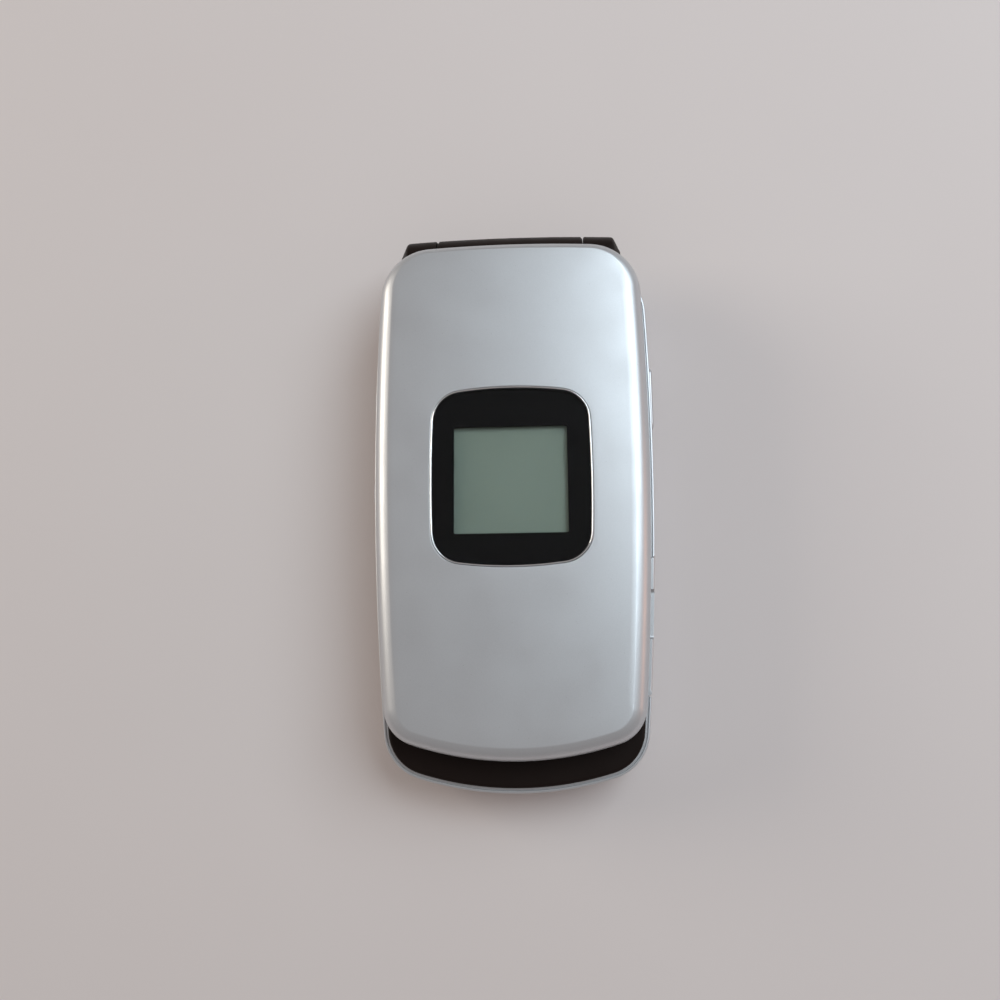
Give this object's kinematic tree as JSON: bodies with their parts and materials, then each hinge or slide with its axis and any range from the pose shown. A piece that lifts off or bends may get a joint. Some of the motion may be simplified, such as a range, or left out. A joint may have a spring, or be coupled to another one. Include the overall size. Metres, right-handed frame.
{
  "type": "clamshell mobile phone",
  "caption": "Slim closed clamshell phone: silver lid with a flush black window and square display, dark hinge barrel, bowed sides and a rounded dark chin.",
  "frame": {"origin": "under the middle of the closed phone, on the surface that it lies on", "axes": "+X across the phone to the side with the charging port, +Y from the chin to the hinge, +Z from the back to the face of the lid"},
  "size_m": [0.0494, 0.096, 0.0186],
  "materials": {
    "silver_shell": "satin metallic silver paint on moulded plastic",
    "dark_shell": "fine matt brown-black moulded plastic",
    "key_cap": "satin silver-painted plastic with dark printed legends",
    "soft_black": "matt black rubber",
    "mat": "translucent grey silicone",
    "film": "clear film over metal domes",
    "board": "green solder mask on fibreglass",
    "tin": "plain tinned sheet steel",
    "steel": "plain turned steel",
    "cell": "wrapped battery can with a plain dark label",
    "contact": "gold-plated springs in a black block",
    "window": "clear acrylic, black printed behind",
    "bezel": "bright plated ring",
    "display": "liquid crystal panel, unlit",
    "flex": "amber polyimide film",
    "grille": "fine punched sheet"
  },
  "bodies": {
    "base": {"front_housing": "dark_shell", "rear_housing": "silver_shell", "keypad_mat": "mat", "dome_sheet": "film", "main_board": "board", "shield_cans": "tin", "charge_connector": "tin", "battery_pack": "cell", "battery_contacts": "contact", "loudspeaker": "dark_shell", "microphone": "soft_black", "vibration_motor": "steel", "antenna": "flex", "base_screws": "steel", "base_screw_plugs": "soft_black", "hinge_shaft": "steel", "hinge_sleeve": "steel", "flex_cable": "flex"},
    "lid": {"lid_cover": "silver_shell", "lid_inner_frame": "dark_shell", "outer_window": "window", "outer_bezel": "bezel", "outer_display": "display", "display_board": "board", "inner_display": "display", "inner_window": "window", "earpiece": "dark_shell", "earpiece_grille": "grille", "closing_magnet": "steel", "lid_bumpers": "soft_black", "lid_screws": "steel", "lid_screw_plugs": "soft_black", "hinge_cartridge": "steel", "display_flex": "flex"},
    "key_1": {"key_1": "key_cap"},
    "key_2": {"key_2": "key_cap"},
    "key_3": {"key_3": "key_cap"},
    "key_4": {"key_4": "key_cap"},
    "key_5": {"key_5": "key_cap"},
    "key_6": {"key_6": "key_cap"},
    "key_7": {"key_7": "key_cap"},
    "key_8": {"key_8": "key_cap"},
    "key_9": {"key_9": "key_cap"},
    "key_star": {"key_star": "key_cap"},
    "key_0": {"key_0": "key_cap"},
    "key_hash": {"key_hash": "key_cap"},
    "soft_key_left": {"soft_key_left": "key_cap"},
    "soft_key_right": {"soft_key_right": "key_cap"},
    "send_key": {"send_key": "key_cap"},
    "end_key": {"end_key": "key_cap"},
    "clear_key": {"clear_key": "key_cap"},
    "nav_ring": {"nav_ring": "key_cap"},
    "ok_key": {"ok_key": "key_cap"},
    "volume_rocker": {"volume_rocker": "silver_shell"},
    "side_key": {"side_key": "silver_shell"},
    "port_cover": {"port_cover": "silver_shell"},
    "battery_cover": {"battery_cover": "silver_shell"},
    "motor_weight": {"motor_weight": "steel"}
  },
  "joints": [
    {"name": "lid_hinge", "type": "hinge", "parent": "base", "child": "lid", "pos_m": [0, 0.0434, 0.011], "axis": [-1, 0, 0], "range_deg": [0, 155]},
    {"name": "key_1_press", "type": "slide", "parent": "base", "child": "key_1", "axis": [0, 0, -1], "range_m": [0, 0.0004], "stiffness_N_per_m": 500, "springref_m": -0.0005},
    {"name": "key_2_press", "type": "slide", "parent": "base", "child": "key_2", "axis": [0, 0, -1], "range_m": [0, 0.0004], "stiffness_N_per_m": 500, "springref_m": -0.0005},
    {"name": "key_3_press", "type": "slide", "parent": "base", "child": "key_3", "axis": [0, 0, -1], "range_m": [0, 0.0004], "stiffness_N_per_m": 500, "springref_m": -0.0005},
    {"name": "key_4_press", "type": "slide", "parent": "base", "child": "key_4", "axis": [0, 0, -1], "range_m": [0, 0.0004], "stiffness_N_per_m": 500, "springref_m": -0.0005},
    {"name": "key_5_press", "type": "slide", "parent": "base", "child": "key_5", "axis": [0, 0, -1], "range_m": [0, 0.0004], "stiffness_N_per_m": 500, "springref_m": -0.0005},
    {"name": "key_6_press", "type": "slide", "parent": "base", "child": "key_6", "axis": [0, 0, -1], "range_m": [0, 0.0004], "stiffness_N_per_m": 500, "springref_m": -0.0005},
    {"name": "key_7_press", "type": "slide", "parent": "base", "child": "key_7", "axis": [0, 0, -1], "range_m": [0, 0.0004], "stiffness_N_per_m": 500, "springref_m": -0.0005},
    {"name": "key_8_press", "type": "slide", "parent": "base", "child": "key_8", "axis": [0, 0, -1], "range_m": [0, 0.0004], "stiffness_N_per_m": 500, "springref_m": -0.0005},
    {"name": "key_9_press", "type": "slide", "parent": "base", "child": "key_9", "axis": [0, 0, -1], "range_m": [0, 0.0004], "stiffness_N_per_m": 500, "springref_m": -0.0005},
    {"name": "key_star_press", "type": "slide", "parent": "base", "child": "key_star", "axis": [0, 0, -1], "range_m": [0, 0.0004], "stiffness_N_per_m": 500, "springref_m": -0.0005},
    {"name": "key_0_press", "type": "slide", "parent": "base", "child": "key_0", "axis": [0, 0, -1], "range_m": [0, 0.0004], "stiffness_N_per_m": 500, "springref_m": -0.0005},
    {"name": "key_hash_press", "type": "slide", "parent": "base", "child": "key_hash", "axis": [0, 0, -1], "range_m": [0, 0.0004], "stiffness_N_per_m": 500, "springref_m": -0.0005},
    {"name": "soft_key_left_press", "type": "slide", "parent": "base", "child": "soft_key_left", "axis": [0, 0, -1], "range_m": [0, 0.0004], "stiffness_N_per_m": 500, "springref_m": -0.0005},
    {"name": "soft_key_right_press", "type": "slide", "parent": "base", "child": "soft_key_right", "axis": [0, 0, -1], "range_m": [0, 0.0004], "stiffness_N_per_m": 500, "springref_m": -0.0005},
    {"name": "send_key_press", "type": "slide", "parent": "base", "child": "send_key", "axis": [0, 0, -1], "range_m": [0, 0.0004], "stiffness_N_per_m": 500, "springref_m": -0.0005},
    {"name": "end_key_press", "type": "slide", "parent": "base", "child": "end_key", "axis": [0, 0, -1], "range_m": [0, 0.0004], "stiffness_N_per_m": 500, "springref_m": -0.0005},
    {"name": "clear_key_press", "type": "slide", "parent": "base", "child": "clear_key", "axis": [0, 0, -1], "range_m": [0, 0.0004], "stiffness_N_per_m": 500, "springref_m": -0.0005},
    {"name": "nav_ring_press", "type": "slide", "parent": "base", "child": "nav_ring", "axis": [0, 0, -1], "range_m": [0, 0.0004], "stiffness_N_per_m": 500, "springref_m": -0.0005},
    {"name": "ok_key_press", "type": "slide", "parent": "base", "child": "ok_key", "axis": [0, 0, -1], "range_m": [0, 0.0004], "stiffness_N_per_m": 500, "springref_m": -0.0005},
    {"name": "volume_rocker_tilt", "type": "hinge", "parent": "base", "child": "volume_rocker", "pos_m": [-0.02295, 0.01105, 0.0068], "axis": [0, 0, 1], "range_deg": [-2.2, 2.2], "stiffness_Nm_per_rad": 0.03},
    {"name": "side_key_press", "type": "slide", "parent": "base", "child": "side_key", "axis": [-1, 0, 0], "range_m": [0, 0.0004], "stiffness_N_per_m": 500, "springref_m": -0.0005},
    {"name": "port_cover_swing", "type": "hinge", "parent": "base", "child": "port_cover", "pos_m": [0.02204, -0.032, 0.0066], "axis": [0, 0, -1], "range_deg": [0, 85]},
    {"name": "battery_cover_slide", "type": "slide", "parent": "base", "child": "battery_cover", "axis": [0, -1, 0], "range_m": [0, 0.066]},
    {"name": "motor_weight_spin", "type": "hinge", "parent": "base", "child": "motor_weight", "pos_m": [-0.01565, 0.0268, 0.00407], "axis": [0, 1, 0], "continuous": true}
  ]
}
